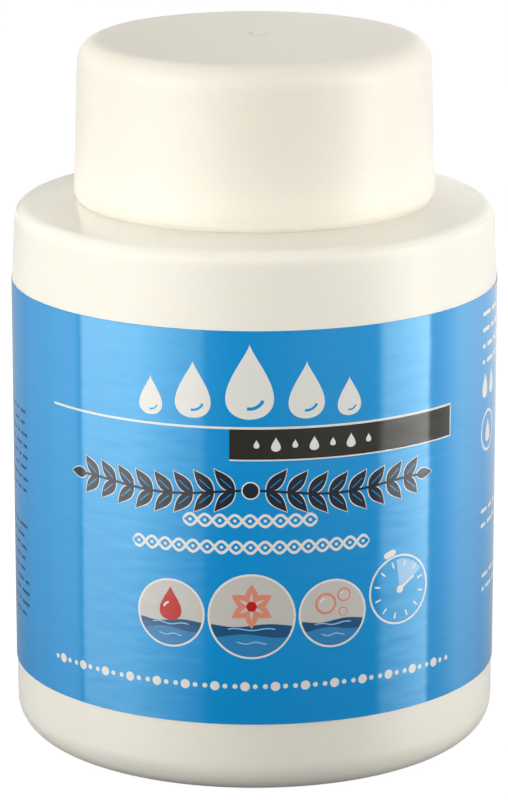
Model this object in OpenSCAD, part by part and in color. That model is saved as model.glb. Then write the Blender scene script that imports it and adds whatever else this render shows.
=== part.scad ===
// Sponge jar for nail polish remover: a round jar with a wrap-around label,
// a foam sponge with a finger hole, and a smooth screw cap with a sealing liner.
// Millimetres, +Z up, origin on the axis in the plane that the jar stands on.

/* [Jar] */
// Outside diameter of the jar's straight wall
body_d = 52; // [48:0.5:58]
// Outside diameter where the wall meets the shoulder
shoulder_d = 51.3; // [47:0.1:57.5]
// Height of the plane in which the shoulder would meet the wall
shoulder_h = 58.1; // [56:0.1:75]
// Angle at which the shoulder rises to the neck
shoulder_slope = 6; // [2:0.5:12]
// Radius of the rounded edge between wall and shoulder
shoulder_edge_r = 1.5; // [0.8:0.1:3]
// Radius of the rounded heel between wall and base
heel_r = 3.4; // [1.6:0.1:4]
// Thickness of the wall and the shoulder
jar_wall = 1.3; // [0.8:0.1:1.8]
// Thickness of the base
base_wall = 1.4; // [0.8:0.1:2]
// Width of the flat ring that the jar stands on
foot_ring_w = 2.9; // [1.5:0.1:5]
// Height by which the middle of the base is pushed up
push_up_h = 1.6; // [0.8:0.1:3]

/* [Neck and thread] */
// Inside diameter of the neck
neck_bore_d = 30; // [26:0.5:34]
// Thickness of the neck
neck_wall = 1.4; // [1:0.1:2]
// Height of the threads above the surface that carries them
thread_depth = 0.9; // [0.6:0.05:1.2]
// Rise of the thread in one turn
thread_lead = 4; // [3.6:0.1:5]
// Width of the thread at its root
thread_root_w = 1.8; // [1.4:0.05:1.9]
// Width of the thread at its crest
thread_crest_w = 0.9; // [0.5:0.05:1.1]
// Turns of thread on the neck, and as many in the cap
thread_turns = 1.5; // [1:0.25:1.75]
// Distance from the rim down to the middle of the neck thread's upper end
thread_top_gap = 2.8; // [2.4:0.1:3.2]
// Height of the middle of the cap thread's lower end above the cap's foot
thread_foot_gap = 1.98; // [1.5:0.01:4]

/* [Cap] */
// Thickness of the skirt at its foot
cap_wall = 1.7; // [1.3:0.1:2.5]
// Amount by which the cap's radius gets smaller from foot to top
cap_draft = 0.55; // [0:0.05:0.8]
// Thickness of the cap's top
cap_top_wall = 1.5; // [1.2:0.1:2.5]
// Radius of the rounded edge round the cap's top
cap_edge_r = 2.5; // [1:0.1:3]
// Size of the bevel round the cap's foot
cap_bevel = 0.5; // [0.2:0.05:0.8]
// Gap between the cap's foot and the shoulder
cap_gap = 0.15; // [0.1:0.05:1]

/* [Liner] */
// Thickness of the sealing disc in the cap
liner_t = 1; // [0.6:0.1:1.6]

/* [Label] */
// Height of the label's lower edge above the base
label_bottom = 8; // [4:0.1:12]
// Distance from the label's upper edge up to the shoulder plane
label_top_gap = 7.9; // [5:0.1:20]
// Thickness of the label
label_t = 0.13; // [0.08:0.01:0.3]
// Width of the overlap where the label's ends meet at the back
label_overlap_w = 5; // [2:0.5:10]

/* [Sponge] */
// Distance from the shoulder plane down to the edge of the sponge's top
sponge_headspace = 4.6; // [4:0.1:12]
// Height by which the top of the sponge is crowned
sponge_crown = 3.6; // [0:0.1:4]
// Diameter of the finger hole
finger_hole_d = 13; // [11:0.5:18]
// Thickness of foam left under the finger hole
sponge_floor = 10; // [5:0.5:20]
// Length of the slits that let the finger hole open
slit_l = 5; // [2:0.5:6]

/* [Clearances] */
// Radial clearance between each thread's crest and the wall opposite
thread_clearance = 0.3; // [0.2:0.05:0.4]
// Gap along the axis between the flanks that hold the cap down
thread_play = 0.3; // [0.15:0.05:0.5]
// Gap above and below the liner
liner_gap = 0.1; // [0.05:0.05:0.2]
// Gap between the sponge and the jar's wall
sponge_clearance = 0.3; // [0.2:0.1:1]

/* [Hidden] */
$fn = 96;

// Small sizes that only one piece carries
overrun = 1;                    // how far each cut runs past the face it opens
label_gap = 0.02;               // glue line under the label
push_up_run = 2;                // width of the slope between foot ring and push-up
inner_heel_r = 2;               // rounding inside the jar, at the floor
inner_edge_r = 1;               // rounding inside the jar, under the shoulder
neck_root_r = 0.8;              // rounding where the neck rises from the shoulder
rim_r = 0.4;                    // rounding of the neck's rim, outside and inside
parting_angle = 38.3;           // mould's parting plane, from the label's front towards +X
pinch_line_l = 26;              // seam across the push-up, left by the mould in that plane
pinch_line_w = 0.5;
pinch_line_h = 0.35;
cap_inner_r = 0.6;              // rounding inside the cap, at its top
skirt_chamfer = 0.3;            // inside edge of the cap's foot
gate_x = 0.3;                   // place of the moulding mark on the cap's top
gate_y = 2.6;
gate_d = 2.6;
gate_depth = 0.15;
gate_nub_d = 0.7;
gate_nub_h = 0.1;
liner_side_gap = 0.4;           // between the liner's edge and the skirt
bead_grip = 0.3;                // how far the bead reaches in under the liner
bead_h = 0.8;
sponge_bottom_r = 1;
sponge_top_r = 3;
hole_lip_w = 1;                 // chamfer round the finger hole's mouth
hole_floor_r = 3;
slit_w = 0.8;
slit_count = 4;
thread_sink = 0.4;              // how deep a thread's root is sunk into its wall
thread_steps = 32;              // straight steps in one turn
thread_fade_share = 0.12;       // of a turn, over which a thread's end fades out
cap_lead_in_share = 0.5;        // of a turn, by which the cap's thread starts before the neck's

// Radii and heights that follow from the sizes above
body_r = body_d / 2;
shoulder_r = shoulder_d / 2;
neck_bore_r = neck_bore_d / 2;
neck_r = neck_bore_r + neck_wall;
neck_crest_r = neck_r + thread_depth;
cap_bore_r = neck_crest_r + thread_clearance;
cap_foot_r = cap_bore_r + cap_wall;
cap_top_r = cap_foot_r - cap_draft;
label_top = shoulder_h - label_top_gap;
floor_z = push_up_h + base_wall;
ring_in_r = body_r - heel_r - foot_ring_w;
push_up_r = ring_in_r - push_up_run;
liner_r = cap_bore_r - liner_side_gap;
bead_r = liner_r - bead_grip;
finger_hole_r = finger_hole_d / 2;
sponge_r = body_r - jar_wall - sponge_clearance;
sponge_edge_z = shoulder_h - sponge_headspace;

// Height of the shoulder's outer surface at radius r
function shoulder_z(r) = shoulder_h + (shoulder_r - r) * tan(shoulder_slope);
cap_foot_z = shoulder_z(cap_foot_r) + cap_gap;

// Threads: the two ribs share one helix, and the cap's lies thread_drop under the neck's
thread_slope = (thread_root_w - thread_crest_w) / thread_depth;
thread_drop = thread_root_w - thread_slope * (thread_depth + thread_clearance) / 2 + thread_play;
cap_thread_z = cap_foot_z + thread_foot_gap;
neck_thread_z = cap_thread_z + thread_lead * cap_lead_in_share + thread_drop;

// The rim stands clear of the thread, and the liner and the cap's top lie on the rim
rim_z = neck_thread_z + thread_lead * thread_turns + thread_top_gap;
liner_z = rim_z + liner_gap;
cap_inner_z = liner_z + liner_t + liner_gap;
cap_top_z = cap_inner_z + cap_top_wall;

function unit(v) = v / norm(v);

// Corner b of an outline between its neighbours a and c, rounded by radius r
function half_angle(a, b, c) = acos(unit(a - b) * unit(c - b)) / 2;
function tangent_points(a, b, c, r) =
    let (reach = r / tan(half_angle(a, b, c)))
    [b + unit(a - b) * reach, b + unit(c - b) * reach];
function corner_centre(a, b, c, r) =
    b + unit(unit(a - b) + unit(c - b)) * r / sin(half_angle(a, b, c));
function turns_left(a, b, c) = cross(b - a, c - b) > 0;

// Outline through corners given as [point, rounding radius], counter-clockwise
module rounded_outline(corners) {
    n = len(corners);
    p = [for (k = corners) k[0]];
    r = [for (k = corners) k[1]];
    function before(i) = p[(i + n - 1) % n];
    function after(i) = p[(i + 1) % n];
    difference() {
        union() {
            polygon([
                for (i = [0:n - 1])
                    each r[i] > 0 ? tangent_points(before(i), p[i], after(i), r[i]) : [p[i]]
            ]);
            for (i = [0:n - 1])
                if (r[i] > 0 && turns_left(before(i), p[i], after(i)))
                    translate(corner_centre(before(i), p[i], after(i), r[i])) circle(r[i]);
        }
        for (i = [0:n - 1])
            if (r[i] > 0 && !turns_left(before(i), p[i], after(i)))
                translate(corner_centre(before(i), p[i], after(i), r[i])) circle(r[i]);
    }
}

// A rib wound round the axis from surface_r to crest_r, rooted in the wall behind the surface
module thread_rib(surface_r, crest_r, start_z, start_angle) {
    outward = crest_r > surface_r;
    into_wall = outward ? -thread_sink : thread_sink;
    root_r = surface_r + into_wall;
    faded_r = surface_r + into_wall / 2;
    root_half_w = (thread_root_w + thread_slope * thread_sink) / 2;
    crest_half_w = thread_crest_w / 2;
    steps = ceil(thread_turns * thread_steps);
    fade_steps = thread_fade_share * thread_steps;
    function crest_at(i) = faded_r + (crest_r - faded_r) * min(1, min(i, steps - i) / fade_steps);
    function section(i) =
        let (
            turned = thread_turns * i / steps,
            angle = start_angle + 360 * turned,
            z = start_z + thread_lead * turned,
            crest = crest_at(i)
        )
        [
            for (q = [[root_r, -root_half_w], [crest, -crest_half_w],
                      [crest, crest_half_w], [root_r, root_half_w]])
                [q[0] * cos(angle), q[0] * sin(angle), z + q[1]]
        ];
    points = [for (i = [0:steps]) each section(i)];
    sides = [
        for (i = [0:steps - 1], j = [0:3])
            let (a = 4 * i + j, b = 4 * i + (j + 1) % 4, c = a + 4, d = b + 4)
            each [[a, b, d], [a, d, c]]
    ];
    last = 4 * steps;
    ends = [[0, 3, 2], [0, 2, 1], [last, last + 1, last + 2], [last, last + 2, last + 3]];
    faces = concat(sides, ends);
    polyhedron(points, outward ? faces : [for (f = faces) [f[2], f[1], f[0]]]);
}

// Outer form of the jar, from the base's middle to the neck's rim
module jar_outside() {
    rounded_outline([
        [[0, push_up_h], 0],
        [[push_up_r, push_up_h], 0],
        [[ring_in_r, 0], 0],
        [[body_r, 0], heel_r],
        [[body_r, label_top], 0],
        [[shoulder_r, shoulder_h], shoulder_edge_r],
        [[neck_r, shoulder_z(neck_r)], neck_root_r],
        [[neck_r, rim_z], rim_r],
        [[0, rim_z], 0]
    ]);
}

// Hollow of the jar, one wall inside the outer form
module jar_hollow() {
    inner_r = body_r - jar_wall;
    under_shoulder = jar_wall / cos(shoulder_slope);
    rounded_outline([
        [[-overrun, floor_z], 0],
        [[push_up_r, floor_z], 0],
        [[ring_in_r, base_wall], 0],
        [[inner_r, base_wall], inner_heel_r],
        [[inner_r, label_top], 0],
        [[shoulder_r - jar_wall, shoulder_z(shoulder_r - jar_wall) - under_shoulder], inner_edge_r],
        [[neck_bore_r, shoulder_z(neck_bore_r) - under_shoulder], 0],
        [[neck_bore_r, rim_z - rim_r], 0],
        [[neck_bore_r + rim_r, rim_z], 0],
        [[neck_bore_r + rim_r, rim_z + overrun], 0],
        [[-overrun, rim_z + overrun], 0]
    ]);
}

module jar_body() {
    color([0.96, 0.94, 0.87]) {
        rotate_extrude() difference() {
            jar_outside();
            jar_hollow();
        }
        thread_rib(neck_r, neck_crest_r, neck_thread_z, 0);
        rotate([0, 0, parting_angle - 90])
            translate([-pinch_line_l / 2, -pinch_line_w / 2, push_up_h - pinch_line_h])
                cube([pinch_line_l, pinch_line_w, pinch_line_h + base_wall / 2]);
    }
}

// Section of the label: a ring, twice as thick where its ends overlap at the back
module label_section() {
    inside_r = body_r + label_gap;
    outside_r = inside_r + label_t;
    overlap_angle = label_overlap_w / outside_r * 180 / PI;
    half_w = (outside_r + label_t) * tan(overlap_angle / 2);
    difference() {
        union() {
            circle(outside_r);
            intersection() {
                circle(outside_r + label_t);
                polygon([[0, 0], [half_w, outside_r + label_t], [-half_w, outside_r + label_t]]);
            }
        }
        circle(inside_r);
    }
}

module label() {
    color([0.08, 0.51, 0.76])
        translate([0, 0, label_bottom]) linear_extrude(label_top - label_bottom) label_section();
}

module sponge() {
    crown_z = sponge_edge_z + sponge_crown;
    hole_z = floor_z + sponge_floor;
    slit_z = hole_z + hole_floor_r + slit_w;
    color([0.16, 0.42, 0.68]) difference() {
        rotate_extrude() rounded_outline([
            [[0, floor_z], 0],
            [[sponge_r, floor_z], sponge_bottom_r],
            [[sponge_r, sponge_edge_z], sponge_top_r],
            [[finger_hole_r + hole_lip_w, crown_z], 0],
            [[finger_hole_r, crown_z - hole_lip_w], 0],
            [[finger_hole_r, hole_z], hole_floor_r],
            [[0, hole_z], 0]
        ]);
        for (i = [0:slit_count - 1])
            rotate([0, 0, (i + 1 / 2) * 360 / slit_count])
                translate([finger_hole_r - overrun, -slit_w / 2, slit_z])
                    cube([slit_l + overrun, slit_w, crown_z + overrun - slit_z]);
    }
}

module cap_liner() {
    color([0.97, 0.97, 0.95])
        translate([0, 0, liner_z]) cylinder(h = liner_t, r = liner_r);
}

// Ring bead that keeps the liner in the cap
module liner_bead() {
    bead_z = liner_z - liner_gap - bead_h / 2;
    rotate_extrude() polygon([
        [cap_bore_r + thread_sink, bead_z - bead_h / 2],
        [cap_bore_r, bead_z - bead_h / 2],
        [bead_r, bead_z],
        [cap_bore_r, bead_z + bead_h / 2],
        [cap_bore_r + thread_sink, bead_z + bead_h / 2]
    ]);
}

// Shallow mark that moulding leaves on the cap's top, with a nub in its middle
module gate_mark() {
    translate([gate_x, gate_y, cap_top_z - gate_depth]) difference() {
        cylinder(h = gate_depth + overrun, d = gate_d);
        translate([0, 0, -overrun]) cylinder(h = overrun + gate_nub_h, d = gate_nub_d);
    }
}

module screw_cap() {
    color([0.97, 0.95, 0.88]) {
        difference() {
            rotate_extrude() difference() {
                rounded_outline([
                    [[0, cap_foot_z], 0],
                    [[cap_foot_r - cap_bevel, cap_foot_z], 0],
                    [[cap_foot_r, cap_foot_z + cap_bevel], 0],
                    [[cap_top_r, cap_top_z], cap_edge_r],
                    [[0, cap_top_z], 0]
                ]);
                rounded_outline([
                    [[-overrun, cap_foot_z - overrun], 0],
                    [[cap_bore_r + skirt_chamfer, cap_foot_z - overrun], 0],
                    [[cap_bore_r + skirt_chamfer, cap_foot_z], 0],
                    [[cap_bore_r, cap_foot_z + skirt_chamfer], 0],
                    [[cap_bore_r, cap_inner_z], cap_inner_r],
                    [[-overrun, cap_inner_z], 0]
                ]);
            }
            gate_mark();
        }
        thread_rib(cap_bore_r, neck_r + thread_clearance, cap_thread_z, -360 * cap_lead_in_share);
        liner_bead();
    }
}

jar_body();
label();
sponge();
cap_liner();
screw_cap();
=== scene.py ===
"""Looks of the sponge jar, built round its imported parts.

Sizes are in millimetres until a mesh is made. An angle round the jar is 0 at the front, which faces
-Y, and grows towards +X. A place on the label is (u, z), where u is the distance along its surface
from the middle of the front.
"""
import math

import bmesh
import bpy
import numpy as np
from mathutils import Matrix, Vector, noise


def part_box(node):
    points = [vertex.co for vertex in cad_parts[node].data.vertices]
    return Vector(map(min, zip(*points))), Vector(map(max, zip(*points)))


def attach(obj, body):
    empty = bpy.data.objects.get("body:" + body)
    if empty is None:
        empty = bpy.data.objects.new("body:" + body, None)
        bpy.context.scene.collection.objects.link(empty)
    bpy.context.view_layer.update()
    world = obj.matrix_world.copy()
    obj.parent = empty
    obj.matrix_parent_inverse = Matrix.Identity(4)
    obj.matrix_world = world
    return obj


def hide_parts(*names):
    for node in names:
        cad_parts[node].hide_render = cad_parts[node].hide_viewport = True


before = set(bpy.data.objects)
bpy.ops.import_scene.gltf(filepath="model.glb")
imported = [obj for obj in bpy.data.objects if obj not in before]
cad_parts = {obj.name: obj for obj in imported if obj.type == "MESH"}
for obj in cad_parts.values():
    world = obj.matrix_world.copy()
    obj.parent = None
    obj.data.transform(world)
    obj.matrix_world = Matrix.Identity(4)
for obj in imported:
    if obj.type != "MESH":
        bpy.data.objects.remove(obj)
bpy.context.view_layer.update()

MM = 0.001

# Camera: a long lens that looks down on the jar
CAMERA_PITCH = 14.778
CAMERA_DISTANCE = 457.0
CAMERA_AIM_Z = 36.1
CAMERA_X = -0.05
LENS = 189.74
SENSOR = 36.0


def make_camera():
    camera = bpy.data.objects.new("camera", bpy.data.cameras.new("camera"))
    camera.data.lens = LENS
    camera.data.sensor_width = SENSOR
    camera.data.clip_start = 0.02
    pitch = math.radians(CAMERA_PITCH)
    back = Vector((0, -math.cos(pitch), math.sin(pitch)))
    camera.location = (Vector((CAMERA_X, 0, CAMERA_AIM_Z)) + back * CAMERA_DISTANCE) * MM
    camera.rotation_euler = (math.pi / 2 - pitch, 0, 0)
    bpy.context.scene.collection.objects.link(camera)
    bpy.context.scene.camera = camera


def extent(node):
    """Outer radius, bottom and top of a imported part."""
    low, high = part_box(node)
    low, high = low / MM, high / MM
    return high.x, low.z, high.z


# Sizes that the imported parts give
JAR_R, _, RIM_Z = extent("jar_body")
CAP_FOOT_R, CAP_FOOT_Z, CAP_TOP_Z = extent("screw_cap")
LABEL_R, LABEL_Z0, LABEL_Z1 = extent("label")
LINER_R, LINER_Z0, LINER_Z1 = extent("cap_liner")
SPONGE_R, SPONGE_Z0, SPONGE_Z1 = extent("sponge")

# Jar
SHOULDER_R = 25.65
SHOULDER_Z = 58.1
SHOULDER_SLOPE = math.tan(math.radians(6))
SHOULDER_EDGE = 1.5
HEEL = 3.4
JAR_WALL = 1.3
BASE_WALL = 1.4
FOOT_RING_W = 2.9
FOOT_R = JAR_R - HEEL - FOOT_RING_W
PUSH_UP = 1.6
PUSH_UP_R = FOOT_R - 2.0
NECK_R = 16.4
NECK_BORE = 15.0
WALL_ROUND = 20

# Mould seams of the jar, and its welded line under the base
SEAM_ANGLE = 38.3
SEAM_HEIGHT = 0.025
SEAM_WIDTH = 0.09
PINCH_LENGTH = 26.0
PINCH_WIDTH = 0.5
PINCH_HEIGHT = 0.35
PINCH_ROOT = 0.2

# Threads: surface that carries them, crest, height of the start, angle of the start
THREAD_LEAD = 4.0
THREAD_TURNS = 1.5
THREAD_ROOT = 1.8
THREAD_CREST = 0.9
THREAD_SINK = 0.4
THREAD_FADE = 0.12
THREAD_STEPS = 120
THREAD_ROUND = 0.2
NECK_THREAD = (NECK_R, 17.3, RIM_Z - 2.8 - THREAD_LEAD * THREAD_TURNS, 90)
CAP_BORE = 17.6
CAP_THREAD = (CAP_BORE, 16.7, NECK_THREAD[2] - 1.5 - THREAD_LEAD / 2, 270)

# Cap
CAP_TOP_R = 18.75
CAP_TOP_WALL = 1.5
CAP_EDGE = 2.5
CAP_CHAMFER_IN = 0.35
CAP_CHAMFER_UP = 0.4
CAP_LAND = 0.2
CAP_CLEARANCE = 0.002
BEAD_R = 16.9
BEAD_HALF = 0.4

# Moulding mark on the cap's top: a shallow dish with a nub
GATE_X = 0.3
GATE_Y = 2.6
GATE_R = 1.5
GATE_DEPTH = 0.25
NUB_R = 0.4
NUB_HEIGHT = 0.25
GATE_RINGS = np.arange(0.05, 5, 0.09)

# Label
GLUE = 0.02
FILM_STEP = 0.006
FILM_R = LABEL_R - 0.045
FILM_T = FILM_R - JAR_R - GLUE
FILM_BEVEL = 0.03
OVERLAP = 5.0
OVERLAP_CLIMB = 0.8

# Mesh fineness
COLUMNS = 240
CORE_R = 0.3
ARC_STEP = math.radians(8)
SUPPORT = 0.04
SHARP = math.radians(38)


def make_piece(name, points, faces, materials, body, slot, face_material=None):
    mesh = bpy.data.meshes.new(name)
    mesh.from_pydata([tuple(p) for p in np.asarray(points, float) * MM], [], faces)
    for material in materials:
        mesh.materials.append(material)
    if face_material is not None:
        mesh.polygons.foreach_set("material_index", face_material)
    work = bmesh.new()
    work.from_mesh(mesh)
    bmesh.ops.recalc_face_normals(work, faces=work.faces)
    work.to_mesh(mesh)
    work.free()
    mesh.shade_smooth()
    mesh.set_sharp_from_angle(angle=SHARP)
    piece = bpy.data.objects.new(name, mesh)
    bpy.context.scene.collection.objects.link(piece)
    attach(piece, body)
    return piece


def unit(vector):
    return vector / np.linalg.norm(vector)


def rounded(corners):
    """Outline through corners given as (r, z, rounding radius).

    A corner with a radius becomes an arc with a supporting point on each side of it.
    """
    points = []
    for i, (r, z, radius) in enumerate(corners):
        corner = np.array((r, z), float)
        if radius == 0:
            points.append(corner)
            continue
        to_last = unit(np.array(corners[i - 1][:2]) - corner)
        to_next = unit(np.array(corners[i + 1][:2]) - corner)
        half = math.acos(np.clip(to_last @ to_next, -1, 1)) / 2
        centre = corner + unit(to_last + to_next) * radius / math.sin(half)
        start = corner + to_last * radius / math.tan(half)
        end = corner + to_next * radius / math.tan(half)
        turn = math.pi - 2 * half
        steps = max(3, math.ceil(turn / ARC_STEP))
        points.append(start + to_last * SUPPORT)
        for k in range(steps + 1):
            share = k / steps
            from_start = (start - centre) * math.sin((1 - share) * turn)
            from_end = (end - centre) * math.sin(share * turn)
            points.append(centre + (from_start + from_end) / math.sin(turn))
        points.append(end + to_next * SUPPORT)
    return np.array(points)


def even_angles(count):
    return np.arange(count) * 2 * math.pi / count


def turned(outline, angles):
    """Rings of points: each outline point turned to each angle."""
    r, z = outline[:, :1], outline[:, 1:]
    return np.stack([r * np.sin(angles), -r * np.cos(angles), z + 0 * angles], axis=-1)


def tube(rings, closed=False):
    """Points and faces of a solid through rings.

    Its two ends get flat faces, unless it is closed, where the last ring meets the first.
    """
    rings = np.asarray(rings, float)
    count, n = rings.shape[:2]
    faces = [
        (i * n + j, i * n + (j + 1) % n, (i + 1) % count * n + (j + 1) % n, (i + 1) % count * n + j)
        for i in range(count if closed else count - 1)
        for j in range(n)
    ]
    if not closed:
        faces += [tuple(range(n)), tuple(range((count - 1) * n, count * n))]
    return rings.reshape(-1, 3), faces


def joined(parts):
    """Points and faces of several solids as one mesh."""
    points, faces = [], []
    start = 0
    for part_points, part_faces in parts:
        points.append(part_points)
        faces += [tuple(start + k for k in face) for face in part_faces]
        start += len(part_points)
    return np.concatenate(points), faces


def smooth_step(low, high, x):
    t = np.clip((x - low) / (high - low), 0, 1)
    return t * t * (3 - 2 * t)


# Materials


class Nodes:
    """Adds nodes to a tree, each with its inputs and settings in one call."""

    def __init__(self, tree):
        self.tree = tree

    def __call__(self, kind, inputs=None, **settings):
        node = self.tree.nodes.new("ShaderNode" + kind)
        for name, value in settings.items():
            setattr(node, name, value)
        for key, value in (inputs or {}).items():
            if isinstance(value, bpy.types.NodeSocket):
                self.tree.links.new(value, node.inputs[key])
            else:
                node.inputs[key].default_value = value
        return node

    def math(self, operation, a, b=0.0, c=0.0):
        return self("Math", {0: a, 1: b, 2: c}, operation=operation).outputs[0]

    def product(self, first, *others):
        for other in others:
            first = self.math("MULTIPLY", first, other)
        return first

    def noise(self, place, scale, detail):
        return self("TexNoise", {"Vector": place, "Scale": scale, "Detail": detail}).outputs["Fac"]

    def bump(self, height, distance, normal=None):
        inputs = {"Height": height, "Distance": distance}
        if normal is not None:
            inputs["Normal"] = normal
        return self("Bump", inputs).outputs[0]

    def ramp(self, factor, low, high):
        node = self("ValToRGB", {"Fac": factor})
        node.color_ramp.elements[0].color = (*low, 1)
        node.color_ramp.elements[1].color = (*high, 1)
        return node.outputs["Color"]

    def remap(self, value, low, high, to_low, to_high, smooth=False):
        kind = "SMOOTHSTEP" if smooth else "LINEAR"
        inputs = {"Value": value, 1: low, 2: high, 3: to_low, 4: to_high}
        return self("MapRange", inputs, interpolation_type=kind).outputs[0]


def new_material(name):
    material = bpy.data.materials.new(name)
    material.use_nodes = True
    shader = material.node_tree.nodes["Principled BSDF"]
    add = Nodes(material.node_tree)
    return material, shader, add, add("TexCoord").outputs["Object"]


def grown(colour, share):
    return tuple(min(1.0, c * share) for c in colour)


# The noise values that a texture rarely leaves
NOISE_RANGE = (0.2, 0.8)
GRAIN_SCALE = 900.0
CLOUD_SHARES = (0.965, 1.03)
PLASTIC_ROUGHNESS_SWING = 0.05
UNPOLISHED = (0.0, 1.0, 0.0)
NO_PAINTED_SHADE = (0.0, 1.0, 1.0)


def moulded_plastic(name, colour, roughness, scales, depths, polish=UNPOLISHED, foot=NO_PAINTED_SHADE):
    """Pale plastic: faint clouds in its colour, long waves in its surface and a fine grain.

    scales are those of the clouds and the waves, depths those of the waves and the grain in metres.
    polish is the height where it starts, where it is full, and the roughness that it takes away.
    foot is the height up to which the colour is darkened most as painted shade, where that ends, and
    the share left of it.
    """
    cloud_scale, wave_scale = scales
    wave_depth, grain_depth = depths
    material, shader, add, place = new_material(name)
    height = add("SeparateXYZ", {0: place}).outputs[2]
    grain = add.noise(place, GRAIN_SCALE, 1.0)
    low_share, high_share = CLOUD_SHARES
    clouds = add.noise(place, cloud_scale, 5.0)
    cloudy = add.ramp(clouds, grown(colour, low_share), grown(colour, high_share))
    # Painted shade: the colour is darkened up to the height that foot gives, rising to full at its
    # end
    shade = add.remap(height, foot[0] * MM, foot[1] * MM, foot[2], 1.0, True)
    painted_shade_colour = add("VectorMath", {0: cloudy, "Scale": shade}, operation="SCALE").outputs[0]
    smooth = add.remap(height, polish[0] * MM, polish[1] * MM, 0.0, polish[2])
    swing = PLASTIC_ROUGHNESS_SWING
    rough = add.remap(grain, *NOISE_RANGE, roughness - swing, roughness + swing)
    waves = add.bump(add.noise(place, wave_scale, 1.0), wave_depth)
    links = add.tree.links
    links.new(painted_shade_colour, shader.inputs["Base Color"])
    links.new(add.math("SUBTRACT", rough, smooth), shader.inputs["Roughness"])
    links.new(add.bump(grain, grain_depth, waves), shader.inputs["Normal"])
    shader.inputs["IOR"].default_value = 1.5
    shader.inputs["Subsurface Weight"].default_value = 0.6
    shader.inputs["Subsurface Radius"].default_value = (1.0, 0.9, 0.7)
    shader.inputs["Subsurface Scale"].default_value = 0.5 * MM
    return material


INK_DOT_SCALE = 3800.0
INK_DRIFT_SCALE = 90.0
INK_MOTTLE = 0.05
FILM_WAVE_SCALE = 110.0
FILM_WAVE_DEPTH = 1.5e-5
RIPPLE_STRETCH = (0.3, 0.3, 1.0)
RIPPLE_SCALE = 850.0
RIPPLE_DEPTH = 1.3e-5
FILM_ROUGHNESS_SWING = 0.02


def printed_film(name, colour, ior=1.6, gleam=(1.0, 1.0, 1.0), roughness=0.09):
    """Varnished print: the fine mottle of the ink under a glossy film with long waves and ripples."""
    material, shader, add, place = new_material(name)
    dots = add.noise(place, INK_DOT_SCALE, 2.0)
    drift = add.noise(place, INK_DRIFT_SCALE, 3.0)
    mix = add.math("MULTIPLY_ADD", dots, 0.6, add.math("MULTIPLY", drift, 0.4))
    mottled = add.ramp(mix, grown(colour, 1 - INK_MOTTLE), grown(colour, 1 + INK_MOTTLE))
    swing = FILM_ROUGHNESS_SWING
    waves = add.bump(add.noise(place, FILM_WAVE_SCALE, 1.0), FILM_WAVE_DEPTH)
    stretched = add("Mapping", {"Vector": place, "Scale": RIPPLE_STRETCH}).outputs[0]
    ripples = add.bump(add.noise(stretched, RIPPLE_SCALE, 1.0), RIPPLE_DEPTH, waves)
    links = add.tree.links
    links.new(mottled, shader.inputs["Base Color"])
    rough = add.remap(dots, *NOISE_RANGE, roughness - swing, roughness + swing)
    links.new(rough, shader.inputs["Roughness"])
    links.new(ripples, shader.inputs["Normal"])
    shader.inputs["IOR"].default_value = ior
    shader.inputs["Specular Tint"].default_value = (*gleam, 1)
    return material


FOAM_CELL_SCALE = 1500.0
FOAM_CLOUD_SCALE = 130.0
FOAM_CELL_DEPTH = 2e-4


def open_foam(name, light, dark):
    """Foam: its cells are small pits, and their darker colour inside is painted shade."""
    material, shader, add, place = new_material(name)
    cells = add("TexVoronoi", {"Vector": place, "Scale": FOAM_CELL_SCALE}).outputs["Distance"]
    clouds = add.noise(place, FOAM_CLOUD_SCALE, 4.0)
    pits = add.math("MULTIPLY", cells, add.remap(clouds, 0.3, 0.7, 0.8, 1.3))
    links = add.tree.links
    # Painted shade: the colour is darker at the bottom of the pits
    links.new(add.ramp(pits, dark, light), shader.inputs["Base Color"])
    links.new(add.bump(pits, FOAM_CELL_DEPTH), shader.inputs["Normal"])
    shader.inputs["Roughness"].default_value = 0.9
    shader.inputs["Sheen Weight"].default_value = 0.2
    return material


jar_plastic = moulded_plastic(
    "jar_look",
    colour=(0.9, 0.868, 0.772),
    roughness=0.34,
    scales=(70.0, 160.0),
    depths=(1.2e-5, 1.5e-6),
    polish=(57.5, 57.62, 0.24),
    # Painted light: the colour is darker below the shoulder's top, so the shoulder and neck are
    # lighter
    foot=(57.3, 57.62, 0.966),
)
cap_plastic = moulded_plastic(
    "cap_look",
    colour=(0.865, 0.818, 0.715),
    roughness=0.35,
    scales=(60.0, 110.0),
    depths=(6e-6, 2e-6),
    # Painted shade: the colour darkens towards the cap's foot, where the shoulder bounces light onto
    # it
    foot=(59.0, 61.8, 0.9),
)
liner_plastic = moulded_plastic(
    "liner_look",
    colour=(0.86, 0.87, 0.85),
    roughness=0.5,
    scales=(300.0, 900.0),
    depths=(2e-5, 1e-5),
)
# dark is the painted shade in the foam's pits
foam = open_foam("foam_look", light=(0.07, 0.27, 0.55), dark=(0.012, 0.07, 0.2))
film_edge = printed_film("film_edge", (0.85, 0.86, 0.86), roughness=0.3)
BLUE_GLEAM = (0.59, 0.95, 1.0)
# Colour of each ink, then its index of refraction and the tint of its gleam where they are its own
INKS = {
    "blue": ((0.003, 0.277, 0.648), 1.85, BLUE_GLEAM),
    "white": ((0.765, 0.757, 0.695),),
    "dark": ((0.027, 0.025, 0.019), 1.5),
    "slate": ((0.016, 0.022, 0.034), 1.5),
    "pale": ((0.57, 0.54, 0.5),),
    "red": ((0.52, 0.012, 0.012),),
    "salmon": ((0.72, 0.26, 0.17),),
    "deep_blue": ((0.012, 0.085, 0.2),),
    "mid_blue": ((0.03, 0.22, 0.47),),
    "light_blue": ((0.3, 0.55, 0.78),),
    "navy": ((0.004, 0.05, 0.13), 1.3, BLUE_GLEAM),
}
inks = {name: printed_film("ink_" + name, *look) for name, look in INKS.items()}


# Jar


def shoulder_z(r):
    return SHOULDER_Z + (SHOULDER_R - r) * SHOULDER_SLOPE


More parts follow.
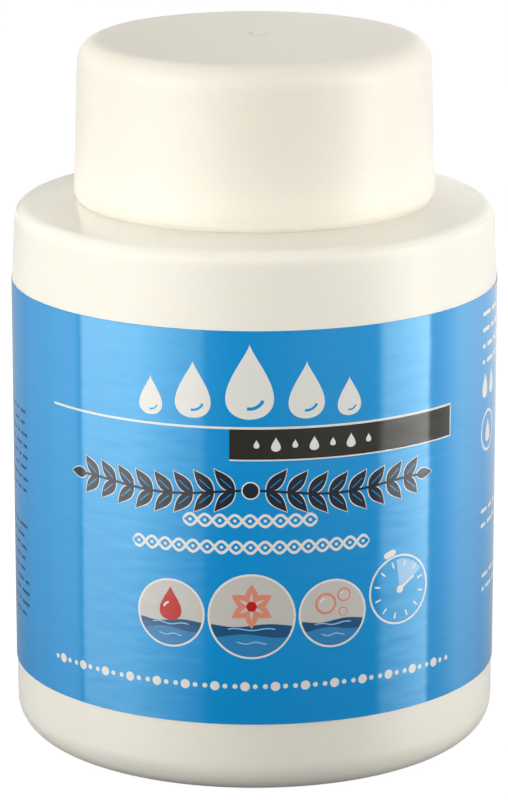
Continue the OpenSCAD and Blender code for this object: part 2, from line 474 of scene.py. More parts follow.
def seam_angles():
    """Angles of the jar's columns: even ones, and close ones over the two mould seams."""
    near = np.radians([-0.6, -0.35, -0.2, -0.1, 0, 0.1, 0.2, 0.35, 0.6])
    seams = np.radians([SEAM_ANGLE, SEAM_ANGLE + 180])
    away = [a for a in even_angles(COLUMNS) if min(abs(a - s) for s in seams) > math.radians(0.8)]
    return np.sort(np.concatenate([away] + [s + near for s in seams]))


def raise_seams(rings, angles):
    """Lifts a fine line along each seam, on the wall that the label leaves bare."""
    radius = np.hypot(rings[..., 0], rings[..., 1])
    z = rings[..., 2]
    outside = (radius > SHOULDER_R - 0.9) & (z > 0.8)
    bare = smooth_step(LABEL_Z1 + 0.4, LABEL_Z1 + 1.0, z)
    fading = 1 - 0.8 * smooth_step(LABEL_Z1 + 1.6, LABEL_Z1 + 2.4, z)
    lift = np.zeros_like(z)
    for seam in (SEAM_ANGLE, SEAM_ANGLE + 180):
        off = (angles - math.radians(seam)) * JAR_R
        lift += np.exp(-((off / SEAM_WIDTH) ** 2))
    lift *= SEAM_HEIGHT * bare * fading * outside
    rings[..., :2] *= (1 + lift / np.maximum(radius, 1))[..., None]


def make_jar():
    """Wall, shoulder, neck and pushed-up base, from the middle of the base outside to inside."""
    inner_r = JAR_R - JAR_WALL
    edge_r = SHOULDER_R - JAR_WALL
    ceiling = JAR_WALL / math.cos(math.atan(SHOULDER_SLOPE))
    outline = rounded([
        (CORE_R, PUSH_UP, 0),
        (PUSH_UP_R, PUSH_UP, 0.6),
        (FOOT_R, 0, 0.3),
        (JAR_R, 0, HEEL),
        (JAR_R, LABEL_Z1, WALL_ROUND),
        (SHOULDER_R, SHOULDER_Z, SHOULDER_EDGE),
        (NECK_R, shoulder_z(NECK_R), 0.8),
        (NECK_R, RIM_Z, 0.4),
        (NECK_BORE, RIM_Z, 0.4),
        (NECK_BORE, shoulder_z(NECK_BORE) - ceiling, 0.5),
        (edge_r, shoulder_z(edge_r) - ceiling, 1),
        (inner_r, LABEL_Z1, WALL_ROUND),
        (inner_r, BASE_WALL, 2),
        (FOOT_R, BASE_WALL, 0.5),
        (PUSH_UP_R, PUSH_UP + BASE_WALL, 0.5),
        (CORE_R, PUSH_UP + BASE_WALL, 0),
    ])
    angles = seam_angles()
    rings = turned(outline, angles)
    raise_seams(rings, angles)
    piece = make_piece("jar_shell", *tube(rings), [jar_plastic], "jar", "jar_plastic")
    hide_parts("jar_body")


def make_pinch_line():
    """The welded seam under the base, a low rounded ridge."""
    along = np.linspace(-1, 1, 41)
    full = np.sqrt(np.clip(1 - along**6, 0.02, 1))
    around = np.radians(np.arange(-90, 91, 15))
    plane = math.radians(SEAM_ANGLE)
    onward = np.array((math.sin(plane), -math.cos(plane), 0))
    aside = np.array((math.cos(plane), math.sin(plane), 0))
    up = np.array((0, 0, 1))
    root_z = PUSH_UP + PINCH_ROOT
    rings = [
        [
            onward * x * PINCH_LENGTH / 2
            + aside * PINCH_WIDTH / 2 * share * math.sin(a)
            + up * (root_z - (PINCH_HEIGHT * share + PINCH_ROOT) * math.cos(a))
            for a in around
        ]
        for x, share in zip(along, full)
    ]
    make_piece("jar_pinch_line", *tube(rings), [jar_plastic], "jar", "jar_plastic")


def make_thread(name, thread, material, body, slot):
    """A rib wound round the axis with its root sunk in the wall, and its ends fading out."""
    surface, crest, start_z, start_angle = thread
    inward = -1 if crest > surface else 1
    root = surface + inward * THREAD_SINK
    faded = surface + inward * THREAD_SINK / 2
    widening = (THREAD_ROOT - THREAD_CREST) / abs(crest - surface)
    root_half = (THREAD_ROOT + widening * THREAD_SINK) / 2
    crest_half = THREAD_CREST / 2
    steps = int(THREAD_TURNS * THREAD_STEPS)
    rings = []
    for i in range(steps + 1):
        turns = THREAD_TURNS * i / steps
        angle = math.radians(start_angle) + 2 * math.pi * turns
        height = smooth_step(0, THREAD_FADE, min(turns, THREAD_TURNS - turns))
        top = faded + (crest - faded) * height
        bend = THREAD_ROUND * height + 0.02
        flank = [
            (root, root_half),
            (top + inward * bend, crest_half + bend * 0.5),
            (top + inward * bend * 0.3, crest_half - bend * 0.1),
            (top, crest_half - bend),
        ]
        section = [(r, -dz) for r, dz in flank] + flank[::-1]
        z = start_z + THREAD_LEAD * turns
        rings.append([(r * math.sin(angle), -r * math.cos(angle), z + dz) for r, dz in section])
    make_piece(name, *tube(rings), [material], body, slot)


# Cap and liner


def press_gate(rings):
    """Sinks the moulding mark into the cap's top."""
    off = np.hypot(rings[..., 0] - GATE_X, rings[..., 1] - GATE_Y)
    dish = GATE_DEPTH * (1 - smooth_step(GATE_R - 0.35, GATE_R, off))
    nub = NUB_HEIGHT * (1 - smooth_step(NUB_R - 0.15, NUB_R + 0.1, off))
    top = rings[..., 2] > CAP_TOP_Z - 0.01
    rings[..., 2] -= (dish - nub) * top


def make_cap():
    """Top, skirt with a chamfered foot, and the bead that holds the liner, from outside to inside."""
    foot_r = CAP_FOOT_R - CAP_CHAMFER_IN
    foot_z = shoulder_z(foot_r) + CAP_CLEARANCE
    inner_z = CAP_TOP_Z - CAP_TOP_WALL
    bead_z = RIM_Z - BEAD_HALF
    outline = rounded([(r, CAP_TOP_Z, 0) for r in GATE_RINGS] + [
        (CAP_TOP_R, CAP_TOP_Z, CAP_EDGE),
        (CAP_FOOT_R, foot_z + CAP_LAND + CAP_CHAMFER_UP, 0.9),
        (foot_r, foot_z + CAP_LAND, 0.15),
        (foot_r, foot_z, 0),
        (foot_r - 0.4, foot_z + 0.1, 0.1),
        (CAP_BORE + 0.3, CAP_FOOT_Z, 0.1),
        (CAP_BORE, CAP_FOOT_Z + 0.3, 0.1),
        (CAP_BORE, bead_z - BEAD_HALF, 0.1),
        (BEAD_R, bead_z, 0.2),
        (CAP_BORE, bead_z + BEAD_HALF, 0.1),
        (CAP_BORE, inner_z, 0.6),
        (GATE_RINGS[0], inner_z, 0),
    ])
    rings = turned(outline, even_angles(COLUMNS))
    press_gate(rings)
    piece = make_piece("cap_shell", *tube(rings), [cap_plastic], "cap", "cap_plastic")
    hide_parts("screw_cap")


LINER_RING = (14.5, 16.0)
LINER_RING_DEPTH = 0.08


def make_liner():
    """Sealing disc with a fine pressed ring in its lower face, where the rim meets it."""
    inner, outer = LINER_RING
    ring_z = LINER_Z0 + LINER_RING_DEPTH
    outline = rounded([
        (CORE_R, LINER_Z1, 0),
        (LINER_R, LINER_Z1, 0.2),
        (LINER_R, LINER_Z0, 0.2),
        (outer, LINER_Z0, 0.1),
        (outer - 0.1, ring_z, 0.05),
        (inner + 0.1, ring_z, 0.05),
        (inner, LINER_Z0, 0.1),
        (CORE_R, LINER_Z0, 0),
    ])
    rings = turned(outline, even_angles(COLUMNS))
    piece = make_piece("liner_disc", *tube(rings), [liner_plastic], "liner", "liner_plastic")
    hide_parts("cap_liner")


# Sponge

SPONGE_EDGE_Z = 53.5
SPONGE_COLUMNS = 300
HOLE_R = 6.5
HOLE_LIP = 1.0
HOLE_FLOOR_Z = SPONGE_Z0 + 10
HOLE_FLOOR_ROUND = 3.0
SLIT_LENGTH = 5.0
SLIT_ANGLES = [45, 135, 225, 315]
SLIT_FLOOR_Z = HOLE_FLOOR_Z + HOLE_FLOOR_ROUND + 1
SLIT_TOP_Z = 50
PORE_DEPTH = 0.35
FINE_STEP = 0.42
HIDDEN_STEP = 2.0


def pore(point):
    """Depth of the foam's cells at a point, as a share of the deepest: rounded pits in two sizes."""
    near = noise.voronoi(Vector(point) / 1.1)[0][0]
    fine = noise.voronoi(Vector(point) / 0.55 + Vector((7, 3, 5)))[0][0]
    return 0.75 * max(0.0, 1 - near * 1.7) + 0.25 * max(0.0, 1 - fine * 1.8)


def sponge_step(place):
    """Longest step of the outline at a place (r, z): fine where the foam can be seen."""
    r, z = place
    hidden = z < HOLE_FLOOR_Z - 1 or (r > SPONGE_R - 0.1 and z < SLIT_TOP_Z)
    return HIDDEN_STEP if hidden else FINE_STEP


def resampled(outline, longest):
    """The outline with points no further apart than longest gives for the place."""
    points = [outline[0]]
    for a, b in zip(outline, outline[1:]):
        parts = max(1, math.ceil(np.linalg.norm(b - a) / longest((a + b) / 2)))
        points += [a + (b - a) * k / parts for k in range(1, parts + 1)]
    return np.array(points)


def cut_slits(rings, outline, angles):
    """Draws single columns of the hole's wall outwards, which makes closed slits."""
    for slit in SLIT_ANGLES:
        column = int(round(math.radians(slit) / (2 * math.pi) * len(angles)))
        direction = np.array((math.sin(angles[column]), -math.cos(angles[column])))
        for i, (r, z) in enumerate(outline):
            at_wall = r <= HOLE_R + 2 or z >= SLIT_TOP_Z
            if at_wall and r <= HOLE_R + SLIT_LENGTH and z >= SLIT_FLOOR_Z:
                rings[i, column, :2] = direction * (HOLE_R + SLIT_LENGTH)


def press_pores(rings):
    """Sinks the foam's cells into the hole's wall and the top."""
    flat = rings.reshape(-1, 3)
    from_axis = flat * (1, 1, 0)
    radius = np.maximum(np.linalg.norm(from_axis, axis=1), 0.1)
    wall = (flat[:, 2] < SPONGE_Z1 - 2.2) & (radius < HOLE_R + 0.1)
    top = (flat[:, 2] > SPONGE_EDGE_Z - 1) & (radius > HOLE_R - 0.2)
    depth = np.array([pore(p) for p in flat]) * PORE_DEPTH
    inward = np.zeros_like(flat)
    inward[wall] = from_axis[wall] / radius[wall, None]
    inward[top] = (0, 0, -1)
    flat += inward * depth[:, None]


def make_sponge():
    outline = rounded([
        (CORE_R, SPONGE_Z0, 0),
        (SPONGE_R, SPONGE_Z0, 1),
        (SPONGE_R, SPONGE_EDGE_Z, 3),
        (HOLE_R, SPONGE_Z1, HOLE_LIP),
        (HOLE_R, HOLE_FLOOR_Z, HOLE_FLOOR_ROUND),
        (CORE_R, HOLE_FLOOR_Z, 0),
    ])
    outline = resampled(outline, sponge_step)
    angles = even_angles(SPONGE_COLUMNS)
    rings = turned(outline, angles)
    cut_slits(rings, outline, angles)
    press_pores(rings)
    piece = make_piece("sponge_foam", *tube(rings), [foam], "jar", "foam")
    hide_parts("sponge")


# Label sheet and its print

# Sides of the sheet's section that carry no ink: its edges and its back
BARE_SIDES = range(1, 7)
SHEET_COLUMNS = 450
SHEET_ROWS = 14
DROP_TAPER = 1.6
THINNEST = 0.015
PRINT_STEP = 0.6
END_TURNS = np.radians([8, 30, 55, 90])


def on_label(u, z, r):
    return (r * math.sin(u / LABEL_R), -r * math.cos(u / LABEL_R), z)


def make_label_sheet():
    """The film, wound once round the jar with its end lying over its start at the back."""
    lap = OVERLAP / 2 / LABEL_R
    climb = OVERLAP_CLIMB / LABEL_R
    half = FILM_T / 2
    flat = half - FILM_BEVEL
    section = [
        (half, LABEL_Z1 - FILM_BEVEL),
        (flat, LABEL_Z1),
        (-flat, LABEL_Z1),
        (-half, LABEL_Z1 - FILM_BEVEL),
        (-half, LABEL_Z0 + FILM_BEVEL),
        (-flat, LABEL_Z0),
        (flat, LABEL_Z0),
        (half, LABEL_Z0 + FILM_BEVEL),
    ]
    section += [(half, z) for z in np.linspace(LABEL_Z0, LABEL_Z1, SHEET_ROWS)[1:-1]]
    rings = []
    for angle in np.linspace(-math.pi - lap, math.pi + lap, SHEET_COLUMNS):
        over = smooth_step(math.pi - lap - climb, math.pi - lap, angle)
        middle = FILM_R - half + over * (FILM_T + 0.005)
        x, y = math.sin(angle), -math.cos(angle)
        rings.append([((middle + dr) * x, (middle + dr) * y, z) for dr, z in section])
    points, faces = tube(rings)
    sides = [int(k % len(section) in BARE_SIDES) for k in range(len(faces) - 2)]
    looks = [inks["blue"], film_edge]
    piece = make_piece("label_sheet", points, faces, looks, "jar", "label_print", sides + [1, 1])
    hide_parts("label")


class Print:
    """Printed shapes, sorted by ink.

    A shape is a thin solid on the film, and a shape of a higher level lies over those of lower ones.
    """

    def __init__(self):
        self.shapes = {}

    def add(self, ink, level, strips, closed=False):
        """strips are rows of (u, z) points across the shape, one after another along it."""
        outer = FILM_R + FILM_STEP * level
        inner = FILM_R - FILM_STEP
        rings = [
            [on_label(u, z, outer) for u, z in strip]
            + [on_label(u, z, inner) for u, z in reversed(strip)]
            for strip in strips
        ]
        self.shapes.setdefault(ink, []).append(tube(rings, closed))

    def band(self, ink, level, u_values, low, high):
        """A shape between two curves over u."""
        self.add(ink, level, [[(u, low(u)), (u, high(u))] for u in u_values])

    def bar(self, ink, level, u0, u1, z0, z1):
        steps = max(2, math.ceil((u1 - u0) / PRINT_STEP) + 1)
        self.add(ink, level, [[(u, z0), (u, z1)] for u in np.linspace(u0, u1, steps)])

    def disc(self, ink, level, u, z, r):
        def reach(x):
            return math.sqrt(max(r * r - (x - u) ** 2, 0))

        steps = u + r * np.cos(np.radians(np.linspace(179, 1, 33)))
        self.add(ink, level, [[(x, z - reach(x)), (x, z + reach(x))] for x in steps])

    def ring(self, ink, level, u, z, r0, r1, start=0, end=360):
        """A ring or part of one, its angles clockwise from the top."""
        whole = end - start >= 360
        count = max(6, int((end - start) / 5))
        angles = np.radians(np.linspace(start, end, count, endpoint=not whole))
        radii = np.linspace(r0, r1, max(2, math.ceil((r1 - r0) / PRINT_STEP) + 1))
        strips = [[(u + r * math.sin(a), z + r * math.cos(a)) for r in radii] for a in angles]
        self.add(ink, level, strips, whole)

    def ribbon(self, ink, level, path, half_widths, across=2):
        """A shape of changing width along a path."""
        path = np.asarray(path, float)
        along = np.gradient(path, axis=0)
        side = np.stack([-along[:, 1], along[:, 0]], 1) / np.linalg.norm(along, axis=1)[:, None]
        shares = np.linspace(-1, 1, across)
        rows = zip(path, side, half_widths)
        self.add(ink, level, [[tuple(p + n * w * s) for s in shares] for p, n, w in rows])

    def stroke(self, ink, level, start, end, width):
        """A short line with round ends, longer than it is wide."""
        start, end = np.array(start, float), np.array(end, float)
        length = np.linalg.norm(end - start)
        half = width / 2
        lead = (1 - np.cos(END_TURNS)) * half
        middle = np.linspace(half, length - half, max(2, math.ceil(length / PRINT_STEP)))[1:-1]
        places = np.concatenate([lead, middle, length - lead[::-1]])
        widths = np.concatenate([np.sin(END_TURNS), np.ones(len(middle)), np.sin(END_TURNS)[::-1]])
        path = start + (end - start) / length * places[:, None]
        self.ribbon(ink, level, path, widths * half)

    def leaf(self, ink, level, base, angle, length, width, margin=0.0, bend=0.0):
        """A leaf from base along angle, clockwise from the top, whose tip bends aside."""
        s = np.linspace(-margin / length, 1 + margin / length, 17)
        t = np.linspace(0, 1, 17)
        heading = np.array((math.sin(math.radians(angle)), math.cos(math.radians(angle))))
        aside = np.array((-heading[1], heading[0]))
        half = (width / 2 + margin) * np.sin(math.pi * t**0.8)
        path = np.array(base) + heading * s[:, None] * length + aside * (bend * s * s)[:, None]
        self.ribbon(ink, level, path, np.maximum(half, THINNEST), 5)

    def drop(self, ink, level, u, z, width, height):
        """A drop whose lowest point is at (u, z), on a teardrop curve."""
        t = np.radians(np.linspace(0, 180, 29))
        half = np.sin(t) * np.sin(t / 2) ** DROP_TAPER
        half = half / half.max() * width / 2
        path = np.stack([np.full(len(t), u), z + height * (1 + np.cos(t)) / 2], 1)
        self.ribbon(ink, level, path, np.maximum(half, THINNEST), 7)

    def wave(self, ink, level, u0, u1, z, swell, periods, width, shift=0.0):
        """A line that swings about z, swell up and down."""
        steps = np.linspace(0, 1, int(periods * 14) + 1)
        lift = swell * np.sin(2 * math.pi * (periods * steps + shift))
        ends = np.clip(np.minimum(steps, 1 - steps) * 60, 0.3, 1)
        path = np.stack([u0 + (u1 - u0) * steps, z + lift], 1)
        self.ribbon(ink, level, path, width / 2 * ends)

    def make(self):
        """One piece for each ink."""
        for ink, shapes in self.shapes.items():
            name = "label_print_" + ink
            make_piece(name, *joined(shapes), [inks[ink]], "jar", "label_print")


ROW_GAP = 0.6
SHORTEST_BAR = 0.8
LONGEST_BAR = 3.2
LAST_ROW_SHARE = 0.45


def print_rows(art, ink, u0, u1, z_top, pitch, rows, height, seed):
    """Rows of plain bars of uneven length between u0 and u1, the last row shorter."""
    generator = np.random.default_rng(seed)
    for row in range(rows):
        z = z_top - pitch * row
        u = u0
        last = u1 if row < rows - 1 else u0 + (u1 - u0) * LAST_ROW_SHARE
        while u < last - 1.2:
            length = min(generator.uniform(SHORTEST_BAR, LONGEST_BAR), last - u)
            art.stroke(ink, 1, (u, z), (u + length, z), height)
            u += length + ROW_GAP


def print_drops(art):
    """Five drops that stand over the rule, the tallest in the middle."""
    foot_z = 40.9
    drops = [(-0.5, 5.0, 7.9), (-6.4, 3.8, 6.0), (5.4, 3.8, 6.0), (-11.0, 2.6, 4.1), (10.0, 2.6, 4.1)]
    for u, width, height in drops:
        art.drop("white", 1, u, foot_z, width, height)
        art.ring("blue", 2, u, foot_z + width * 0.53, width * 0.27, width * 0.34, 115, 190)


def print_rule(art):
    """A fine rule over a dark bar with a pale edge, and a row of drops on the bar."""
    art.bar("white", 1, -24.3, 23.6, 39.86, 40.1)
    art.bar("white", 1, -2.6, 23.6, 36.5, 40.0)
    art.bar("dark", 2, -2.6, 23.45, 36.65, 39.86)
    for k in range(7):
        z, width, height = (37.5, 1.0, 1.5) if k % 2 else (37.85, 0.6, 0.9)
        art.drop("white", 3, 0.2 + 2.0 * k, z, width, height)


GARLAND_U = -0.4
GARLAND_Z = 33.05
LEAF_MARGIN = 0.11
LEAF_WIDTH = 1.3
LEAF_SWING = 0.35


def print_leaf_pair(art, base, side, length):
    """Two leaves from one place on the stem, each with a pale margin and a midrib."""
    for turn, bend in ((50, LEAF_SWING), (130, -LEAF_SWING)):
        shape = (base, side * turn, length, LEAF_WIDTH)
        art.leaf("white", 1, *shape, LEAF_MARGIN, side * bend)
        art.leaf("slate", 2, *shape, 0.0, side * bend)
        heading = np.array((math.sin(math.radians(side * turn)), math.cos(math.radians(turn))))
        start = np.array(base) + heading * 0.5
        art.stroke("blue", 3, start, start + heading * 1.5, 0.09)


def print_garland(art):
    """Two branches of dark leaves that grow apart from a berry."""
    def on_stem(side, u):
        return (side * u + GARLAND_U, GARLAND_Z + 0.3 * math.cos(u / 2.9))

    for side in (-1, 1):
        stem = [on_stem(side, u) for u in np.linspace(0.9, 18.9, 70)]
        art.ribbon("slate", 2, stem, [0.13] * len(stem))
        for k in range(8):
            print_leaf_pair(art, on_stem(side, 1.6 + 2.2 * k), side, 3.1 - 0.06 * k)
        tip = (on_stem(side, 18.7), side * 90, 2.2, 1.1)
        art.leaf("white", 1, *tip, LEAF_MARGIN)
        art.leaf("slate", 2, *tip)
    art.disc("white", 3, GARLAND_U, GARLAND_Z + 0.3, 0.95)
    art.disc("slate", 4, GARLAND_U, GARLAND_Z + 0.3, 0.82)


def print_braid(art, u0, u1, z, periods):
    """Two waves that cross, with a dot in each eye."""
    for shift in (0.0, 0.5):
        art.wave("white", 1, u0, u1, z, 0.62, periods, 0.3, shift)
    eye = (u1 - u0) / periods / 2
    for k in range(int(2 * periods)):
        art.disc("white", 1, u0 + eye * (k + 0.5), z, 0.17)


def print_beads(art, u0, u1, z, count):
    """A fine line of beads, with a larger one in every third place."""
    for k in range(count):
        u = u0 + (u1 - u0) * k / (count - 1)
        art.disc("white", 1, u, z, 0.5 if k % 3 == 1 else 0.26)


MEDALLION_RIM = 0.22


def print_water(art, ink, level, u, z, r, share, swell, shift):
    """The foot of a medallion under a wavy line, share of its inner radius below its middle."""
    inside = r - MEDALLION_RIM
    reach = math.sqrt(inside**2 - (inside * share) ** 2) - 0.05

    def floor(x):
        return z - math.sqrt(max(inside**2 - (x - u) ** 2, 0))

    def surface(x):
        wavy = z - inside * share + swell * math.sin((x - u) / r * 4 + shift)
        return max(floor(x) + 0.02, wavy)

    art.band(ink, level, np.linspace(u - reach, u + reach, 33), floor, surface)


def print_medallion(art, u, z, r):
    """Round picture with a white rim, a pale ground and two bands of water along its foot."""
    art.disc("white", 1, u, z, r)
    art.disc("pale", 2, u, z, r - MEDALLION_RIM)
    print_water(art, "deep_blue", 3, u, z, r, 0.22, 0.16, 0.0)
    print_water(art, "mid_blue", 4, u, z, r, 0.48, 0.2, 2.2)
    for k, share in enumerate((0.3, 0.62)):
        half = r * (0.55 - 0.2 * k)
        art.wave("light_blue", 5, u - half, u + half, z - r * share, 0.1, 1.5, 0.12, 0.3 * k)


def print_drop_picture(art, u, z):
    print_medallion(art, u, z, 3.7)
    art.drop("red", 5, u, z - 0.8, 2.4, 3.7)
    art.ring("white", 6, u, z + 0.45, 0.62, 0.82, 285, 345)


def print_flower_picture(art, u, z):
    print_medallion(art, u, z, 4.6)
    middle = (u, z + 1.1)
    for k in range(6):
        art.leaf("salmon", 5, middle, 60 * k, 2.4, 1.4)
        art.leaf("pale", 6, middle, 60 * k, 1.5, 0.35)
    art.disc("red", 7, *middle, 0.55)


def print_bubble_picture(art, u, z):
    print_medallion(art, u, z, 3.7)
    for across, up, r in ((-0.8, 1.1, 1.15), (1.2, 1.9, 0.75), (1.1, 0.1, 0.5)):
        place = (u + across, z + up)
        art.disc("salmon", 5, *place, r)
        art.disc("pale", 6, *place, r * 0.78)
        art.ring("white", 7, *place, r * 0.42, r * 0.58, 285, 345)


def clockwise(u, z, r, angle):
    """The place at r from (u, z), at an angle clockwise from the top in degrees."""
    a = math.radians(angle)
    return (u + r * math.sin(a), z + r * math.cos(a))


TIMER_HAND = 58
TIMER_KNOB = -18


def print_timer(art, u, z):
    """A plain timer: ring, ticks, knob, hand and the part of its face that has run."""
    art.ring("white", 1, u, z, 3.58, 3.8)
    art.ring("light_blue", 1, u, z, 0.1, 3.3, -8, TIMER_HAND)
    for k in range(12):
        angle = 30 * k + 12
        art.stroke("white", 2, clockwise(u, z, 2.5, angle), clockwise(u, z, 3.2, angle), 0.2)
    knob = clockwise(u, z, 4.2, TIMER_KNOB)
    ends = [clockwise(*knob, 0.75, TIMER_KNOB + side) for side in (-90, 90)]
    art.stroke("white", 1, *ends, 0.7)
    art.stroke("white", 2, (u, z), clockwise(u, z, 2.2, TIMER_HAND), 0.24)
    art.disc("white", 3, u, z, 0.42)


def print_sides(art):
    """Rows of plain bars on both sides, and on the right two drops and a ring with a drop."""
    print_rows(art, "navy", -56.0, -30.8, 37.2, 1.24, 9, 0.34, 3)
    print_rows(art, "navy", -56.0, -30.8, 24.5, 1.24, 10, 0.34, 4)
    print_rows(art, "white", 30.8, 56.0, 48.0, 1.75, 4, 0.46, 5)
    art.drop("white", 1, 31.7, 38.8, 1.7, 2.8)
    art.drop("white", 1, 34.2, 38.8, 1.7, 2.8)
    art.ring("white", 1, 32.9, 35.0, 2.0, 2.3)
    art.drop("white", 1, 32.9, 33.7, 1.7, 2.6)
    print_rows(art, "white", 30.9, 50.0, 26.3, 1.6, 2, 0.42, 6)
    print_rows(art, "white", 31.5, 47.0, 19.0, 1.5, 2, 0.4, 7)


def print_label():
    art = Print()
    print_drops(art)
    print_rule(art)
    print_garland(art)
    print_braid(art, -7.5, 6.6, 30.1, 4.5)
    print_braid(art, -13.2, 12.4, 27.25, 8.5)
    print_drop_picture(art, -8.9, 19.8)
    print_flower_picture(art, -0.3, 19.8)
    print_bubble_picture(art, 8.3, 19.8)
    print_timer(art, 16.2, 21.3)
    print_beads(art, -24.2, 23.3, 12.2, 46)
    print_sides(art)
    art.make()


# Floor, light and background

FLOOR_R = 600.0
FLOOR_Z = -0.02
FLOOR_ALBEDO = 0.12
FLOOR_GLOW = 0.955
FLOOR_NEAR = 40.0
FLOOR_FAR = 110.0


def make_floor():
    """Pale disc, white to the camera outside the jar's shadow."""
    around = np.radians(np.arange(0, 360, 5))
    points = [(FLOOR_R * math.cos(a), FLOOR_R * math.sin(a), FLOOR_Z) for a in around]
    mesh = bpy.data.meshes.new("floor")
    mesh.from_pydata([tuple(c * MM for c in p) for p in points], [], [tuple(range(len(points)))])
    floor = bpy.data.objects.new("floor", mesh)
    bpy.context.scene.collection.objects.link(floor)
    material = bpy.data.materials.new("floor")
    material.use_nodes = True
    tree = material.node_tree
    tree.nodes.clear()
    add = Nodes(tree)
    path = add("LightPath")
    seen = add.math("MAXIMUM", path.outputs["Is Camera Ray"], path.outputs["Is Glossy Ray"])
    seen = add.math("MAXIMUM", seen, path.outputs["Is Transmission Ray"])
    paint = add("BsdfDiffuse", {"Color": (FLOOR_ALBEDO, FLOOR_ALBEDO, FLOOR_ALBEDO, 1)})
    place = add("TexCoord").outputs["Object"]
    away = add("VectorMath", {0: place}, operation="LENGTH").outputs["Value"]
    level = add.remap(away, FLOOR_NEAR * MM, FLOOR_FAR * MM, FLOOR_GLOW, 1.0, True)
    glow = add("Emission", {"Strength": add.math("MULTIPLY", seen, level)})
    both = add("AddShader", {0: paint.outputs[0], 1: glow.outputs[0]})
    add("OutputMaterial", {"Surface": both.outputs[0]})
    mesh.materials.append(material)
    floor.visible_glossy = False


FRONT_LEVEL = 0.15
BETWEEN_LEVEL = 0.42
BEHIND_LOW = 1.3
BEHIND_HIGH = 0.36
SOFTBOX_LEVEL = 3.7
# Elevations that the foot and the top of an upright wall mirror to the camera
WALL_SEES = (-19, -14)


def soft_boxes(add, azimuth, elevation):
    """Light of two soft boxes and of the room between them, in degrees round and up."""
    fade_from = add.remap(elevation, *WALL_SEES, -62, -56)
    fade_to = add.remap(elevation, *WALL_SEES, -19, -7)
    left = add.product(
        add.remap(azimuth, -90.5, -88, 0, 1, True),
        add.remap(azimuth, -88, -70, 0.88, 1),
        add.remap(azimuth, fade_from, fade_to, 1, 0),
        add.remap(azimuth, -25.4, -21.9, 1, 0.25, True),
    )
    right = add.product(
        add.remap(azimuth, 59, 65, 0, 1, True),
        add.remap(azimuth, 66, 90, add.remap(elevation, *WALL_SEES, 0.5, 0.72), 1.25),
        add.remap(azimuth, 89.3, 91.8, 1, 0, True),
    )
    between = add.product(
        add.remap(azimuth, -10, 40, 0, BETWEEN_LEVEL, True),
        add.remap(elevation, *WALL_SEES, 0.4, 1),
    )
    return add.product(
        add.math("MULTIPLY_ADD", add.math("ADD", left, right), SOFTBOX_LEVEL, between),
        add.remap(elevation, -24.5, -13.5, 0, 1),
        add.remap(elevation, 15, 55, 1, 0, True),
    )


def room_behind(add, azimuth, elevation):
    """Light of the pale room behind the jar, with a dim gap at the right."""
    aside = add.math("ABSOLUTE", azimuth)
    gap = add.product(add.remap(azimuth, 80, 93, 0, 0.62), add.remap(azimuth, 97, 114, 1, 0))
    return add.product(
        add.remap(aside, 88, 94, 0, 1, True),
        add.remap(aside, 112, 140, 1, 0.41),
        add.remap(azimuth, -115, -97, 0.62, 1),
        add.remap(azimuth, 114, 180, 1, 0.7),
        add.math("SUBTRACT", 1.0, gap),
        add.remap(elevation, -12, 26, BEHIND_LOW, BEHIND_HIGH, True),
        add.remap(elevation, *WALL_SEES, 0.62, 1),
    )


def room_in_front(add, elevation):
    """Light of the dim room in front, darker low down."""
    return add.remap(elevation, -19.5, -14, FRONT_LEVEL * 0.3, FRONT_LEVEL)


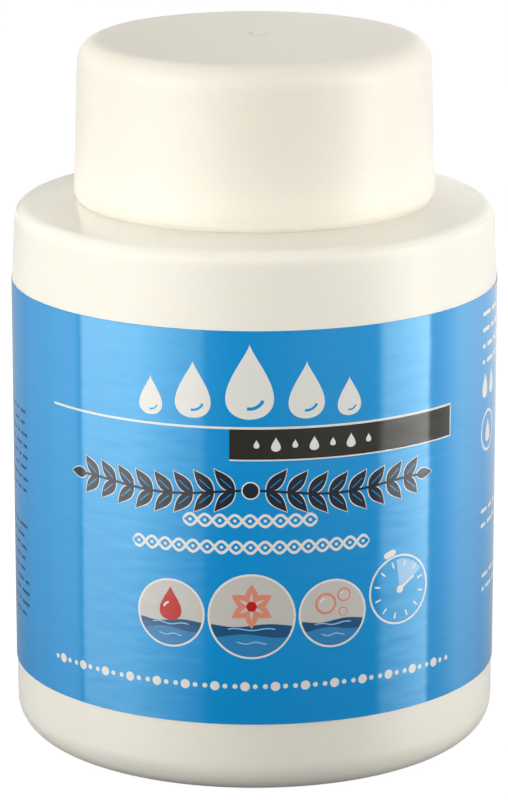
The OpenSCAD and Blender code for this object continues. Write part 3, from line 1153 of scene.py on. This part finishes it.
def make_world():
    """White to the camera, and a painted studio to glossy surfaces. It lights nothing else."""
    world = bpy.data.worlds.new("studio")
    bpy.context.scene.world = world
    world.use_nodes = True
    world.cycles.sampling_method = "NONE"
    tree = world.node_tree
    tree.nodes.clear()
    add = Nodes(tree)
    x, y, z = add("SeparateXYZ", {0: add("TexCoord").outputs["Generated"]}).outputs
    azimuth = add.math("DEGREES", add.math("ARCTAN2", x, add.math("MULTIPLY", y, -1.0)))
    elevation = add.math("DEGREES", add.math("ARCSINE", z))
    rooms = add.math("ADD", room_behind(add, azimuth, elevation), room_in_front(add, elevation))
    reflected = add.math("ADD", soft_boxes(add, azimuth, elevation), rooms)
    path = add("LightPath")
    mirrored = add.math("MAXIMUM", path.outputs["Is Glossy Ray"], path.outputs["Is Transmission Ray"])
    unlit = add("Background", {"Strength": 0.0})
    mirror = add("Background", {"Strength": reflected})
    white = add("Background", {"Strength": 1.0})
    for background in (unlit, mirror, white):
        background.inputs["Color"].default_value = (1, 1, 1, 1)
    lit = add("MixShader", {0: mirrored, 1: unlit.outputs[0], 2: mirror.outputs[0]})
    camera_ray = path.outputs["Is Camera Ray"]
    seen = add("MixShader", {0: camera_ray, 1: lit.outputs[0], 2: white.outputs[0]})
    add("OutputWorld", {"Surface": seen.outputs[0]})


LAMP_AIM_Z = 62.0
# Azimuth, elevation, distance, size, power and spread of each lamp
LAMPS = [
    (-75, 6, 400, 180, 0.117, 55),
    (-55, 6, 400, 120, 0.0366, 47),
    (0, 6, 400, 120, 0.0257, 47),
    (45, 6, 400, 120, 0.061, 47),
    (95, 6, 400, 180, 0.0965, 55),
    (180, 6, 400, 120, 0.05, 47),
    (-135, 40, 400, 250, 0.098, 90),
    (180, 40, 400, 250, 0.128, 90),
    (0, 88, 400, 300, 0.28, 120),
]


def make_lamp(name, azimuth, elevation, distance, size, power, spread):
    """Square lamp that points at the jar's upper part. A narrow spread leaves the foot darker."""
    lamp = bpy.data.objects.new(name, bpy.data.lights.new(name, "AREA"))
    lamp.data.size = size * MM
    lamp.data.energy = power
    lamp.data.spread = math.radians(spread)
    a, e = math.radians(azimuth), math.radians(elevation)
    way = Vector((math.sin(a) * math.cos(e), -math.cos(a) * math.cos(e), math.sin(e)))
    lamp.location = (way * distance + Vector((0, 0, LAMP_AIM_Z))) * MM
    lamp.rotation_euler = way.to_track_quat("Z", "Y").to_euler()
    lamp.visible_camera = False
    lamp.visible_glossy = False
    bpy.context.scene.collection.objects.link(lamp)


make_camera()
make_jar()
make_pinch_line()
make_thread("neck_thread", NECK_THREAD, jar_plastic, "jar", "jar_plastic")
make_cap()
make_thread("cap_thread", CAP_THREAD, cap_plastic, "cap", "cap_plastic")
make_liner()
make_sponge()
make_label_sheet()
print_label()
make_floor()
make_world()
for number, lamp in enumerate(LAMPS):
    make_lamp("lamp_" + str(number + 1), *lamp)
bpy.context.scene.view_settings.view_transform = "Standard"
